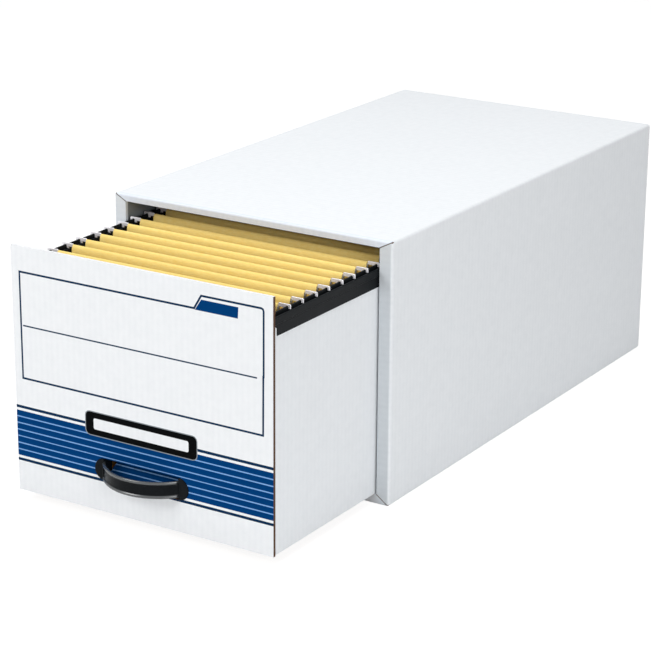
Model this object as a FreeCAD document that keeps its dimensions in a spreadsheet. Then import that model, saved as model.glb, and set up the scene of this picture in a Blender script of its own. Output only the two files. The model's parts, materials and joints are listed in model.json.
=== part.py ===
import FreeCAD, Part
import math
import os
import Sketcher
from FreeCAD import Vector

# File box: a sleeve of white corrugated board stiffened by steel side plates, and a deep drawer that
# slides in it. The drawer's walls carry plastic rails, on which five hanging folders slide by the
# hooks of their steel rods. It is drawn with the drawer pulled out.
# Axes: X to the right, the front faces -Y, Z up. The origin is the middle of the base, on the floor.

# Driving sizes in millimetres, angles in degrees.
DIMENSIONS = {
    # Sleeve, outside
    "width": 355.6,
    "height": 292.1,
    "depth": 622.3,
    # Board of the sleeve and its folds
    "board": 4.0,
    "fold_radius": 3.0,
    "front_round": 2.5,
    "rim_width": 15.0,
    "top_ply": 4.0,
    "floor_plies": 7.0,
    "mitre_gap": 0.5,
    "back_flap_width": 90.0,
    # Steel side plates
    "steel_gauge": 0.8,
    "steel_flange": 9.0,
    "swage_depth": 1.6,
    "swage_place": 40.0,
    # Drawer tray
    "pull_out": 196.0,
    "tray_gap": 2.6,
    "tray_wall": 7.0,
    "tray_drop": 26.1,
    "tray_floor_board": 4.0,
    "slide_gap": 0.3,
    "rear_gap": 8.0,
    # Drawer front
    "front_board": 3.5,
    "front_side_gap": 0.6,
    "front_low_gap": 0.8,
    "front_top_gap": 0.7,
    "liner_drop": 2.0,
    # Rail on each wall of the tray
    "rail_skin": 1.5,
    "skirt_skin": 1.0,
    "skirt_drop": 16.5,
    "skirt_setback": 5.5,
    "skirt_slope": 4.0,
    "bead_proud": 0.7,
    "bead_drop": 5.0,
    "lip_width": 2.3,
    "lip_rise": 1.5,
    "web_inset": 2.8,
    "web_skin": 1.8,
    "web_rise": 4.5,
    "web_round": 0.4,
    "inner_skin": 1.2,
    "inner_drop": 12.0,
    "rail_end_gap": 0.3,
    # Hand hole and handle
    "hole_half": 59.5,
    "hole_radius": 12.25,
    "hole_height": 59.3,
    "grip_half": 50.0,
    "grip_bow": 26.0,
    "grip_tall": 18.0,
    "grip_skin": 3.2,
    "grip_lip": 2.0,
    "grip_lip_proud": 1.2,
    "block_inner": 47.5,
    "block_clear": 0.3,
    "block_proud": 1.5,
    "retainer_half": 68.0,
    "retainer_radius": 19.0,
    "retainer_skin": 2.5,
    "flap_clear": 0.4,
    "flap_tilt": 57.0,
    "flap_round": 2.0,
    # Hanging folders
    "folder_first": 34.0,
    "folder_pitch": 48.0,
    "folder_gap": 2.8,
    "folder_lift": 12.6,
    "card": 0.8,
    "hem_tall": 12.0,
    "rod_spacing": 23.0,
    "rod_gauge": 1.2,
    "rod_tall": 6.0,
    "rod_clear": 0.2,
    "rod_rise": 5.9,
    "rod_drop": 2.8,
    "hook_start": 0.4,
    "hook_leg": 1.9,
    "hook_clear": 0.8,
    "notch_clear": 0.3,
    "notch_half": 2.0,
    "nib_reach": 0.1,
    "nib_clear": 0.5,
    "hook_round": 1.5,
}
FOLDER_COUNT = 5

doc = FreeCAD.newDocument("file_box")
size = doc.addObject("Spreadsheet::Sheet", "size")
for row, (alias, value) in enumerate(DIMENSIONS.items(), start=1):
    size.set(f"A{row}", alias)
    size.set(f"B{row}", str(value))
    size.setAlias(f"B{row}", alias)
doc.recompute()


def number(expression):
    """The value of an expression of the sheet's sizes."""
    return float(size.evalExpression(expression))


# Places in the sleeve, as expressions of the driving sizes
FRONT = "(-size.depth / 2)"
REAR = "(size.depth / 2)"
HALF_WIDTH = "(size.width / 2)"
BEHIND_RIM = f"({FRONT} + size.board)"
WRAP_INSIDE = f"({HALF_WIDTH} - size.board)"
FLOOR_TOP = "(size.board + size.floor_plies)"
ROOF_INSIDE = "(size.height - size.board)"
CEILING = f"({ROOF_INSIDE} - size.top_ply)"
MOUTH_HALF = f"({HALF_WIDTH} - size.rim_width)"
BACK_INSIDE = f"({REAR} - 2 * size.board)"

# Places in the drawer, pulled out
PANEL_FRONT = f"({FRONT} - size.pull_out)"
PANEL_BACK = f"({PANEL_FRONT} + size.front_board)"
LINER_BACK = f"({PANEL_BACK} + size.front_board)"
INNER_BACK = f"({PANEL_BACK} + size.tray_wall)"
PANEL_HALF = f"({MOUTH_HALF} - size.front_side_gap)"
PANEL_LOW = f"({FLOOR_TOP} + size.front_low_gap)"
PANEL_TOP = f"({CEILING} - size.front_top_gap)"
TRAY_HALF = f"({MOUTH_HALF} - size.tray_gap)"
TRAY_INSIDE = f"({TRAY_HALF} - size.tray_wall)"
TRAY_LOW = f"({FLOOR_TOP} + size.slide_gap)"
TRAY_FLOOR_TOP = f"({TRAY_LOW} + size.tray_floor_board)"
TRAY_TOP = f"({CEILING} - size.tray_drop)"
TRAY_REAR = f"({BACK_INSIDE} - size.rear_gap - size.pull_out)"

# Places on the rails
SHOULDER = f"({TRAY_TOP} + size.rail_skin)"
WEB_MIDDLE = f"({TRAY_INSIDE} + size.web_inset)"
WEB_TOP = f"({SHOULDER} + size.web_rise)"
SKIRT_OUT = f"({TRAY_HALF} + size.skirt_skin)"
BEAD_OUT = f"({SKIRT_OUT} + size.bead_proud)"
BEAD_LOW = f"({TRAY_TOP} - size.bead_drop)"
SKIRT_LOW = f"({TRAY_TOP} - size.skirt_drop)"


def new_body(name):
    """An empty body whose label names the piece and its file."""
    body = doc.addObject("PartDesign::Body", name)
    body.Label = name
    return body


def new_sketch(body, role, offset):
    """A sketch on one of the body's own planes, moved along the plane's normal by offset."""
    plane = next(feature for feature in body.Origin.OriginFeatures if feature.Role == role)
    sketch = body.newObject("Sketcher::SketchObject", body.Label + "_outline")
    sketch.AttachmentSupport = (plane, [""])
    sketch.MapMode = "FlatFace"
    sketch.setExpression("AttachmentOffset.Base.z", offset)
    return sketch


def pin(sketch, kind, geometry, point, expression):
    """Ties one coordinate of a sketch point to an expression."""
    index = sketch.addConstraint(Sketcher.Constraint(kind, geometry, point, number(expression)))
    sketch.setExpression(f"Constraints[{index}]", expression)


def draw_polygon(sketch, points):
    """A closed outline of straight lines, each corner tied to a pair of expressions."""
    first = sketch.GeometryCount
    count = len(points)
    spots = [Vector(number(across), number(up), 0) for across, up in points]
    lines = [Part.LineSegment(spots[i], spots[(i + 1) % count]) for i in range(count)]
    sketch.addGeometry(lines, False)
    joins = [
        Sketcher.Constraint("Coincident", first + i, 2, first + (i + 1) % count, 1)
        for i in range(count)
    ]
    sketch.addConstraint(joins)
    for i, (across, up) in enumerate(points):
        pin(sketch, "DistanceX", first + i, 1, across)
        pin(sketch, "DistanceY", first + i, 1, up)


def rectangle(left, right, low, high):
    """The four corners of an upright rectangle."""
    return [(left, low), (right, low), (right, high), (left, high)]


def draw_stadium(sketch, half, radius, height):
    """A slot outline with round ends, centred on the middle plane at the given height."""
    first = sketch.GeometryCount
    centre = f"({half} - {radius})"
    x, r, z = number(centre), number(radius), number(height)
    right = Part.ArcOfCircle(Part.Circle(Vector(x, z, 0), Vector(0, 0, 1), r), -math.pi / 2, math.pi / 2)
    top = Part.LineSegment(Vector(x, z + r, 0), Vector(-x, z + r, 0))
    left = Part.ArcOfCircle(Part.Circle(Vector(-x, z, 0), Vector(0, 0, 1), r), math.pi / 2, 3 * math.pi / 2)
    low = Part.LineSegment(Vector(-x, z - r, 0), Vector(x, z - r, 0))
    sketch.addGeometry([right, top, left, low], False)
    sketch.addConstraint([
        Sketcher.Constraint("Tangent", first + i, 2, first + (i + 1) % 4, 1) for i in range(4)
    ])
    sketch.addConstraint(Sketcher.Constraint("Equal", first, first + 2))
    for geometry, across in ((first, centre), (first + 2, f"-{centre}")):
        pin(sketch, "DistanceX", geometry, 3, across)
        pin(sketch, "DistanceY", geometry, 3, height)
    index = sketch.addConstraint(Sketcher.Constraint("Radius", first, r))
    sketch.setExpression(f"Constraints[{index}]", radius)


def draw_block_end(sketch, side, chord, half, radius, height):
    """A round-ended block outline: the arc of the slot's end, closed by an upright chord."""
    first = sketch.GeometryCount
    centre = f"({half} - {radius})"
    x, r, z, cut = number(centre), number(radius), number(height), number(chord)
    spread = math.acos((cut - x) / r)
    middle = 0 if side > 0 else math.pi
    circle = Part.Circle(Vector(side * x, z, 0), Vector(0, 0, 1), r)
    arc = Part.ArcOfCircle(circle, middle - spread, middle + spread)
    sketch.addGeometry([arc, Part.LineSegment(arc.EndPoint, arc.StartPoint)], False)
    sketch.addConstraint(Sketcher.Constraint("Coincident", first, 2, first + 1, 1))
    sketch.addConstraint(Sketcher.Constraint("Coincident", first + 1, 2, first, 1))
    sketch.addConstraint(Sketcher.Constraint("Vertical", first + 1))
    pin(sketch, "DistanceX", first, 3, f"{side} * {centre}")
    pin(sketch, "DistanceY", first, 3, height)
    pin(sketch, "DistanceX", first + 1, 1, f"{side} * {chord}")
    index = sketch.addConstraint(Sketcher.Constraint("Radius", first, r))
    sketch.setExpression(f"Constraints[{index}]", radius)


def pad(body, sketch, length):
    """Pads a sketch along its normal."""
    feature = body.newObject("PartDesign::Pad", body.Label + "_pad")
    feature.Profile = sketch
    feature.setExpression("Length", length)
    sketch.Visibility = False
    return feature


def pocket(body, sketch, length):
    """Cuts a sketch's outline against its normal, and makes sure that it cuts something."""
    doc.recompute()
    before = body.Shape.Volume
    feature = body.newObject("PartDesign::Pocket", body.Label + "_pocket")
    feature.Profile = sketch
    feature.setExpression("Length", length)
    doc.recompute()
    if body.Shape.Volume > before - 0.1:
        raise RuntimeError(f"{body.Label}: the pocket cuts nothing")
    return feature


def side_offset(role, start, length):
    """Where a sketch lies, so that its pad fills start to start + length along the world's axis."""
    return f"-({start} + {length})" if role == "XZ_Plane" else start


def board_piece(name, role, start, length, outline, holes=()):
    """A flat piece: an outline, padded from start by length along the plane's axis."""
    body = new_body(name)
    sketch = new_sketch(body, role, side_offset(role, start, length))
    draw_polygon(sketch, outline)
    for hole in holes:
        draw_polygon(sketch, hole)
    pad(body, sketch, length)
    return body


def round_edges(body, radius, wanted):
    """Rounds the edges of the body's last shape that the test picks."""
    doc.recompute()
    tip = body.Tip
    names = [f"Edge{i}" for i, edge in enumerate(tip.Shape.Edges, start=1) if wanted(edge)]
    if not names:
        raise RuntimeError(f"{body.Label}: no edge to round")
    fillet = body.newObject("PartDesign::Fillet", body.Label + "_round")
    fillet.Base = (tip, names)
    fillet.setExpression("Radius", radius)
    return fillet


def runs_along(edge, axis):
    """True for a straight edge that runs along the axis."""
    if edge.Curve.TypeId != "Part::GeomLine":
        return False
    return abs(edge.Curve.Direction.dot(axis)) > 0.999


def mirrored(points, side):
    """The same outline on the right (1) or the left (-1)."""
    return [(f"{side} * {across}", up) for across, up in points]


SIDES = (("left", -1), ("right", 1))
ALONG = Vector(0, 1, 0)
NEAR = 0.01


# Sleeve: one sheet of board folded round into a tube, with its four long corners creased round
def build_shell_wrap():
    inside = rectangle(f"-{WRAP_INSIDE}", WRAP_INSIDE, "size.board", ROOF_INSIDE)
    outside = rectangle(f"-{HALF_WIDTH}", HALF_WIDTH, "0 * size.board", "size.height")
    length = f"({REAR} - {BEHIND_RIM})"
    body = board_piece("shell_wrap", "XZ_Plane", BEHIND_RIM, length, outside, [inside])
    half, tall = number(HALF_WIDTH), number("size.height")

    def outer_corner(edge):
        spot = edge.Vertexes[0].Point
        on_side = abs(abs(spot.x) - half) < NEAR
        return runs_along(edge, ALONG) and on_side and min(spot.z, tall - spot.z) < NEAR

    round_edges(body, "size.fold_radius", outer_corner)


# Rims: the sleeve's front edge, turned in over the liners, mitred at its corners and rounded outside
def build_rim(name, cut_away):
    outside = rectangle(f"-{HALF_WIDTH}", HALF_WIDTH, "0 * size.board", "size.height")
    mouth = rectangle(f"-{MOUTH_HALF}", MOUTH_HALF, FLOOR_TOP, CEILING)
    body = board_piece(name, "XZ_Plane", FRONT, "size.board", outside, [mouth])
    half, tall, front = number(HALF_WIDTH), number("size.height"), number(FRONT)

    def outer_corner(edge):
        spot = edge.Vertexes[0].Point
        on_side = abs(abs(spot.x) - half) < NEAR
        return runs_along(edge, ALONG) and on_side and min(spot.z, tall - spot.z) < NEAR

    def front_outline(edge):
        box = edge.BoundBox
        on_front = abs(box.YMin - front) < NEAR and abs(box.YMax - front) < NEAR
        on_side = max(abs(box.XMin), abs(box.XMax)) > half - NEAR
        on_end = box.ZMin < NEAR or box.ZMax > tall - NEAR
        return on_front and (on_side or on_end)

    round_edges(body, "size.fold_radius", outer_corner)
    round_edges(body, "size.front_round", front_outline)
    sketch = new_sketch(body, "XZ_Plane", f"-{FRONT}")
    draw_polygon(sketch, cut_away)
    pocket(body, sketch, "size.board")


def build_rims():
    spare = "10"
    far = f"({HALF_WIDTH} + {spare})"
    above = f"(size.height + {spare})"
    below = f"(-{spare})"
    gap = "size.mitre_gap"
    ground = "(0 * size.height)"
    for name, side in SIDES:
        beside = [
            (far, above),
            (HALF_WIDTH, f"(size.height - {gap})"),
            (MOUTH_HALF, f"({CEILING} - {gap})"),
            (MOUTH_HALF, f"({FLOOR_TOP} + {gap})"),
            (HALF_WIDTH, f"({ground} + {gap})"),
            (far, below),
            (f"-{far}", below),
            (f"-{far}", above),
        ]
        build_rim(f"rim_{name}", mirrored(beside, side))
    under_top = [
        (f"-{far}", below),
        (far, below),
        (far, "size.height"),
        (HALF_WIDTH, "size.height"),
        (MOUTH_HALF, CEILING),
        (f"-{MOUTH_HALF}", CEILING),
        (f"-{HALF_WIDTH}", "size.height"),
        (f"-{far}", "size.height"),
    ]
    over_bottom = [
        (f"-{far}", above),
        (far, above),
        (far, ground),
        (HALF_WIDTH, ground),
        (MOUTH_HALF, FLOOR_TOP),
        (f"-{MOUTH_HALF}", FLOOR_TOP),
        (f"-{HALF_WIDTH}", ground),
        (f"-{far}", ground),
    ]
    build_rim("rim_top", under_top)
    build_rim("rim_bottom", over_bottom)


# Steel side plates: sheet with a turned front flange behind the rim and one long step, the swage
def build_side_plates():
    front_in = f"({BEHIND_RIM} + size.steel_gauge)"
    swage = f"({BEHIND_RIM} + size.swage_place)"
    swage_end = f"({swage} + size.swage_depth)"
    deep = f"({MOUTH_HALF} + size.swage_depth)"
    skin = f"({MOUTH_HALF} + size.steel_gauge)"
    deep_skin = f"({deep} + size.steel_gauge)"
    flange = f"({MOUTH_HALF} + size.steel_flange)"
    plate = [
        (MOUTH_HALF, BEHIND_RIM),
        (flange, BEHIND_RIM),
        (flange, front_in),
        (skin, front_in),
        (skin, swage),
        (deep_skin, swage_end),
        (deep_skin, BACK_INSIDE),
        (deep, BACK_INSIDE),
        (deep, swage_end),
        (MOUTH_HALF, swage),
    ]
    pad_outline = [
        (WRAP_INSIDE, front_in),
        (WRAP_INSIDE, BACK_INSIDE),
        (deep_skin, BACK_INSIDE),
        (deep_skin, swage_end),
        (skin, swage),
        (skin, front_in),
    ]
    rise = f"({CEILING} - {FLOOR_TOP})"
    for name, side in SIDES:
        board_piece(f"steel_plate_{name}", "XY_Plane", FLOOR_TOP, rise, mirrored(plate, side))
        board_piece(f"side_pad_{name}", "XY_Plane", FLOOR_TOP, rise, mirrored(pad_outline, side))


# Liners and back of the sleeve
def build_liners():
    plan = rectangle(f"-{WRAP_INSIDE}", WRAP_INSIDE, BEHIND_RIM, BACK_INSIDE)
    board_piece("floor_liner", "XY_Plane", "size.board", "size.floor_plies", plan)
    board_piece("top_liner", "XY_Plane", CEILING, "size.top_ply", plan)
    back = rectangle(f"-{WRAP_INSIDE}", WRAP_INSIDE, "size.board", ROOF_INSIDE)
    board_piece("back_panel", "XZ_Plane", f"({REAR} - size.board)", "size.board", back)
    for name, side in SIDES:
        flap = rectangle(WRAP_INSIDE, f"({WRAP_INSIDE} - size.back_flap_width)", "size.board", ROOF_INSIDE)
        board_piece(f"back_flap_{name}", "XZ_Plane", BACK_INSIDE, "size.board", mirrored(flap, side))


# Tray of the drawer: floor, two side walls and the back, all of doubled board
def build_tray():
    floor = rectangle(f"-{TRAY_INSIDE}", TRAY_INSIDE, PANEL_BACK, TRAY_REAR)
    board_piece("tray_floor", "XY_Plane", TRAY_LOW, "size.tray_floor_board", floor)
    wall = rectangle(PANEL_BACK, TRAY_REAR, TRAY_LOW, TRAY_TOP)
    for name, start in (("left", f"(-{TRAY_HALF})"), ("right", TRAY_INSIDE)):
        board_piece(f"tray_side_{name}", "YZ_Plane", start, "size.tray_wall", wall)
    back = rectangle(f"-{TRAY_INSIDE}", TRAY_INSIDE, TRAY_FLOOR_TOP, TRAY_TOP)
    board_piece("tray_back", "XZ_Plane", f"({TRAY_REAR} - size.tray_wall)", "size.tray_wall", back)


def cut_hand_hole(body, front, thickness):
    """The round-ended hand hole, through a board that stands across the drawer."""
    sketch = new_sketch(body, "XZ_Plane", f"-{front}")
    draw_stadium(sketch, "size.hole_half", "size.hole_radius", "size.hole_height")
    pocket(body, sketch, thickness)


# Front of the drawer: the printed panel, its lining with ears over the rails, and the inner wall
def build_front():
    panel = rectangle(f"-{PANEL_HALF}", PANEL_HALF, PANEL_LOW, PANEL_TOP)
    body = board_piece("front_panel", "XZ_Plane", PANEL_FRONT, "size.front_board", panel)
    cut_hand_hole(body, PANEL_FRONT, "size.front_board")

    ear_low = f"({WEB_TOP} + size.notch_clear)"
    liner_top = f"({PANEL_TOP} - size.liner_drop)"
    half_liner = [
        (TRAY_INSIDE, TRAY_FLOOR_TOP),
        (TRAY_INSIDE, ear_low),
        (TRAY_HALF, ear_low),
        (TRAY_HALF, liner_top),
    ]
    liner = half_liner + mirrored(half_liner[::-1], -1)
    body = board_piece("front_liner", "XZ_Plane", PANEL_BACK, "size.front_board", liner)
    cut_hand_hole(body, PANEL_BACK, "size.front_board")

    inner = rectangle(f"-{TRAY_INSIDE}", TRAY_INSIDE, TRAY_FLOOR_TOP, TRAY_TOP)
    thickness = f"({INNER_BACK} - {LINER_BACK})"
    body = board_piece("tray_front_inner", "XZ_Plane", LINER_BACK, thickness, inner)
    cut_hand_hole(body, LINER_BACK, thickness)


# Rails: a plastic section pushed over each side wall. Its web carries the hooks, its bead stands
# proud along the top of the outer skirt, and the skirt below the bead starts behind the front.
def build_rails():
    bead = "size.bead_proud"
    web_half = "size.web_skin / 2"
    web_in = f"({WEB_MIDDLE} - {web_half})"
    web_out = f"({WEB_MIDDLE} + {web_half})"
    web_side = f"({WEB_TOP} - size.web_round)"
    lip_top = f"({SHOULDER} + size.lip_rise)"
    lip_in = f"({BEAD_OUT} - size.lip_width)"
    inner_out = f"({TRAY_INSIDE} - size.inner_skin)"
    half_skin = "size.inner_skin / 2"
    profile = [
        (TRAY_HALF, SKIRT_LOW),
        (SKIRT_OUT, SKIRT_LOW),
        (SKIRT_OUT, BEAD_LOW),
        (BEAD_OUT, f"({BEAD_LOW} + {bead})"),
        (BEAD_OUT, f"({lip_top} - {bead})"),
        (SKIRT_OUT, lip_top),
        (lip_in, lip_top),
        (f"({lip_in} - {half_skin})", SHOULDER),
        (web_out, SHOULDER),
        (web_out, web_side),
        (f"({web_out} - size.web_round)", WEB_TOP),
        (f"({web_in} + size.web_round)", WEB_TOP),
        (web_in, web_side),
        (web_in, SHOULDER),
        (f"({inner_out} + {half_skin})", SHOULDER),
        (inner_out, f"({SHOULDER} - {half_skin})"),
        (inner_out, f"({TRAY_TOP} - size.inner_drop)"),
        (TRAY_INSIDE, f"({TRAY_TOP} - size.inner_drop)"),
        (TRAY_INSIDE, TRAY_TOP),
        (TRAY_HALF, TRAY_TOP),
    ]
    spare = "1"
    deep = f"({BEAD_OUT} - {TRAY_HALF} + {spare})"
    setback = [
        (f"({PANEL_BACK} - {spare})", BEAD_LOW),
        (PANEL_BACK, BEAD_LOW),
        (f"({PANEL_BACK} + size.skirt_setback)", f"({BEAD_LOW} - size.skirt_slope)"),
        (f"({PANEL_BACK} + size.skirt_setback)", f"({SKIRT_LOW} - {spare})"),
        (f"({PANEL_BACK} - {spare})", f"({SKIRT_LOW} - {spare})"),
    ]
    # The rail ends at the back wall, and its inner skirt starts behind the lining and the inner wall
    length = f"({TRAY_REAR} - size.tray_wall - size.rail_end_gap - {PANEL_BACK})"
    inner_low = f"({TRAY_TOP} - size.inner_drop - {spare})"
    relief = rectangle(f"({inner_out} - {spare})", TRAY_INSIDE, inner_low, SHOULDER)
    for name, side in SIDES:
        body = board_piece(f"rail_{name}", "XZ_Plane", PANEL_BACK, length, mirrored(profile, side))
        start = f"({TRAY_HALF} + {deep})" if side > 0 else f"(-{TRAY_HALF})"
        sketch = new_sketch(body, "YZ_Plane", start)
        draw_polygon(sketch, setback)
        pocket(body, sketch, deep)
        sketch = new_sketch(body, "XZ_Plane", f"-{PANEL_BACK}")
        draw_polygon(sketch, mirrored(relief, side))
        pocket(body, sketch, "size.tray_wall")


# Handle: a bowed grip with a lip along each edge, whose end blocks fill the round ends of the hole
GRIP_RADIUS = "((size.grip_half ^ 2 + size.grip_bow ^ 2) / (2 * size.grip_bow))"


def build_handle():
    low = "(size.hole_height - size.grip_tall / 2)"
    high = "(size.hole_height + size.grip_tall / 2)"
    proud = "size.grip_lip_proud"
    valley = f"-({GRIP_RADIUS} - {proud})"
    inside = f"-({GRIP_RADIUS} - size.grip_skin)"
    section = [
        (f"-{GRIP_RADIUS}", low),
        (f"-{GRIP_RADIUS}", f"({low} + size.grip_lip)"),
        (valley, f"({low} + size.grip_lip + {proud})"),
        (valley, f"({high} - size.grip_lip - {proud})"),
        (f"-{GRIP_RADIUS}", f"({high} - size.grip_lip)"),
        (f"-{GRIP_RADIUS}", high),
        (inside, high),
        (inside, low),
    ]
    body = new_body("handle_grip")
    sketch = new_sketch(body, "YZ_Plane", "0 * size.board")
    sketch.setExpression("AttachmentOffset.Base.x", f"{PANEL_FRONT} - size.grip_bow + {GRIP_RADIUS}")
    draw_polygon(sketch, section)
    bow = body.newObject("PartDesign::Revolution", "handle_grip_bow")
    bow.Profile = sketch
    bow.ReferenceAxis = (sketch, ["V_Axis"])
    bow.Midplane = True
    bow.setExpression("Angle", f"2 * asin(size.grip_half / {GRIP_RADIUS})")
    doc.recompute()

    block_front = f"({PANEL_FRONT} - size.block_proud)"
    depth = f"({INNER_BACK} - {block_front})"
    sketch = new_sketch(body, "XZ_Plane", side_offset("XZ_Plane", block_front, depth))
    half = "(size.hole_half - size.block_clear)"
    end = "(size.hole_radius - size.block_clear)"
    for side in (-1, 1):
        draw_block_end(sketch, side, "size.block_inner", half, end, "size.hole_height")
    pad(body, sketch, depth)

    retainer = new_body("handle_retainer")
    sketch = new_sketch(retainer, "XZ_Plane", side_offset("XZ_Plane", INNER_BACK, "size.retainer_skin"))
    draw_stadium(sketch, "size.retainer_half", "size.retainer_radius", "size.hole_height")
    reach = "size.hole_radius"
    window = rectangle(
        "-size.block_inner",
        "size.block_inner",
        f"(size.hole_height - {reach})",
        f"(size.hole_height + {reach})",
    )
    draw_polygon(sketch, window)
    pad(retainer, sketch, "size.retainer_skin")


# Push-in flap: the board cut from the hand hole, still hinged at its lower crease and tilted inwards
def build_handle_flap():
    grip_inside = f"({GRIP_RADIUS} - size.grip_skin)"
    grip_centre = f"({GRIP_RADIUS} - size.grip_bow)"
    half = f"(sqrt({grip_inside} ^ 2 - {grip_centre} ^ 2) - size.flap_clear)"
    rise = "(2 * size.hole_radius - 2 * size.flap_clear)"
    outline = rectangle(f"-{half}", half, "0 * size.board", rise)
    start = "(-size.front_board)"
    body = board_piece("handle_flap", "XZ_Plane", start, "size.front_board", outline)
    top = number(rise)

    def upper_corner(edge):
        return runs_along(edge, ALONG) and edge.Vertexes[0].Point.z > top - NEAR

    round_edges(body, "size.flap_round", upper_corner)
    body.setExpression("Placement.Base.y", PANEL_BACK)
    body.setExpression("Placement.Base.z", "size.hole_height - size.hole_radius + size.flap_clear")
    body.Placement.Rotation = FreeCAD.Rotation(Vector(1, 0, 0), -number("size.flap_tilt"))
    body.setExpression("Placement.Rotation.Angle", "-size.flap_tilt")


# Places of the folders: the notch of each hook rests on the web of the rail
NOTCH_TOP = f"({WEB_TOP} + size.notch_clear)"
HOOK_TOP = f"({NOTCH_TOP} + size.rod_drop)"
ROD_TOP = f"({HOOK_TOP} - size.rod_rise)"
ROD_LOW = f"({ROD_TOP} - size.rod_tall)"
HEM_TOP = f"({ROD_TOP} + size.rod_clear + size.card)"
HEM_LOW = f"({HEM_TOP} - size.hem_tall)"
FOLDER_LOW = f"({TRAY_FLOOR_TOP} + size.folder_lift)"
FOLDER_HALF = f"({TRAY_INSIDE} - size.inner_skin - size.folder_gap)"


# Folder: one card folded to a V, with a hem along each top edge that holds a rod
def build_folder(index, middle):
    reach = "size.rod_spacing / 2"
    slot_half = "(size.rod_gauge / 2 + size.rod_clear)"
    hem_half = f"({slot_half} + size.card)"
    crease = "size.card * 1.5"
    right_half = [
        (f"({middle} + {crease})", FOLDER_LOW),
        (f"({middle} + {reach} + size.card / 2)", f"({HEM_LOW} - size.card)"),
        (f"({middle} + {reach} + {hem_half})", HEM_LOW),
        (f"({middle} + {reach} + {hem_half})", HEM_TOP),
        (f"({middle} + {reach} - {hem_half})", HEM_TOP),
        (f"({middle} + {reach} - {hem_half})", HEM_LOW),
        (f"({middle} + {reach} - size.card / 2)", f"({HEM_LOW} - size.card)"),
    ]
    left_half = [(f"(2 * {middle} - {across})", up) for across, up in right_half]
    valley = (middle, f"({FOLDER_LOW} + 2 * size.card)")
    outline = right_half + [valley] + left_half[::-1]
    slots = []
    for rod in (f"({middle} - {reach})", f"({middle} + {reach})"):
        low = f"({ROD_LOW} - size.rod_clear)"
        high = f"({ROD_TOP} + size.rod_clear)"
        slots.append(rectangle(f"({rod} - {slot_half})", f"({rod} + {slot_half})", low, high))
    length = f"(2 * {FOLDER_HALF})"
    board_piece(f"folder_{index}", "YZ_Plane", f"(-{FOLDER_HALF})", length, outline, slots)


# Rods: two flat steel strips a folder, whose n-shaped ends hook over the webs of the rails
def build_folder_rods(index, middle):
    leg_in = f"({FOLDER_HALF} + size.hook_start)"
    leg_out = f"({leg_in} + size.hook_leg)"
    over_shoulder = f"({SHOULDER} + size.hook_clear)"
    notch_in = f"({WEB_MIDDLE} - size.notch_half)"
    notch_out = f"({WEB_MIDDLE} + size.notch_half)"
    nib_out = f"({TRAY_HALF} - size.nib_reach)"
    nib_low = f"({SHOULDER} + size.lip_rise + size.nib_clear)"
    right_half = [
        (f"({leg_out} - size.hook_leg / 2)", ROD_LOW),
        (f"({leg_out} - size.hook_leg / 2)", over_shoulder),
        (notch_in, over_shoulder),
        (notch_in, NOTCH_TOP),
        (notch_out, NOTCH_TOP),
        (notch_out, nib_low),
        (nib_out, nib_low),
        (nib_out, HOOK_TOP),
        (leg_in, HOOK_TOP),
        (leg_in, ROD_TOP),
    ]
    outline = right_half + mirrored(right_half[::-1], -1)
    start = f"({middle} - size.rod_spacing / 2 - size.rod_gauge / 2)"
    body = board_piece(f"folder_rods_{index}", "XZ_Plane", start, "size.rod_gauge", outline)
    tip_x, tip_z = number(nib_out), number(HOOK_TOP)

    def hook_corner(edge):
        spot = edge.Vertexes[0].Point
        return runs_along(edge, ALONG) and abs(spot.x) > tip_x - NEAR and spot.z > tip_z - NEAR

    round_edges(body, "size.hook_round", hook_corner)
    doc.recompute()
    body.AllowCompound = True
    pair = body.newObject("PartDesign::LinearPattern", body.Label + "_pair")
    pair.Originals = [body.Group[1], body.Group[2]]
    pair.Direction = (body.Group[0], ["N_Axis"])
    pair.Reversed = True
    pair.Occurrences = 2
    pair.setExpression("Length", "size.rod_spacing")
    body.Tip = pair


def build_folders():
    for index in range(FOLDER_COUNT):
        first = f"{PANEL_FRONT} + size.folder_first + size.rod_spacing / 2"
        middle = f"({first} + {index} * size.folder_pitch)"
        build_folder(index + 1, middle)
        build_folder_rods(index + 1, middle)


build_shell_wrap()
build_rims()
build_side_plates()
build_liners()
build_tray()
build_front()
build_rails()
build_handle()
build_handle_flap()
build_folders()
doc.recompute()

for item in doc.Objects:
    if "Invalid" in item.State or "Error" in item.State:
        raise RuntimeError(f"{item.Label} did not build: {item.State}")
pieces = [item for item in doc.Objects if item.TypeId == "PartDesign::Body"]
for piece in pieces:
    if piece.Shape.isNull() or not piece.Shape.isValid():
        raise RuntimeError(f"{piece.Label} has no sound shape")

os.makedirs("parts", exist_ok=True)
for piece in pieces:
    piece.Shape.exportStep(os.path.join("parts", piece.Label + ".step"))
    box = piece.Shape.BoundBox
    solids = len(piece.Shape.Solids)
    print(
        f"{piece.Label}: {solids} solid, x {box.XMin:.2f} {box.XMax:.2f}, "
        f"y {box.YMin:.2f} {box.YMax:.2f}, z {box.ZMin:.2f} {box.ZMax:.2f}, "
        f"volume {piece.Shape.Volume / 1000:.1f} cm3"
    )
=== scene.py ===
"""File box: a corrugated-board sleeve with steel sides, whose drawer of hanging folders pulls out."""

import json

import bmesh
import bpy
import numpy as np
from mathutils import Matrix, Vector


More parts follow.
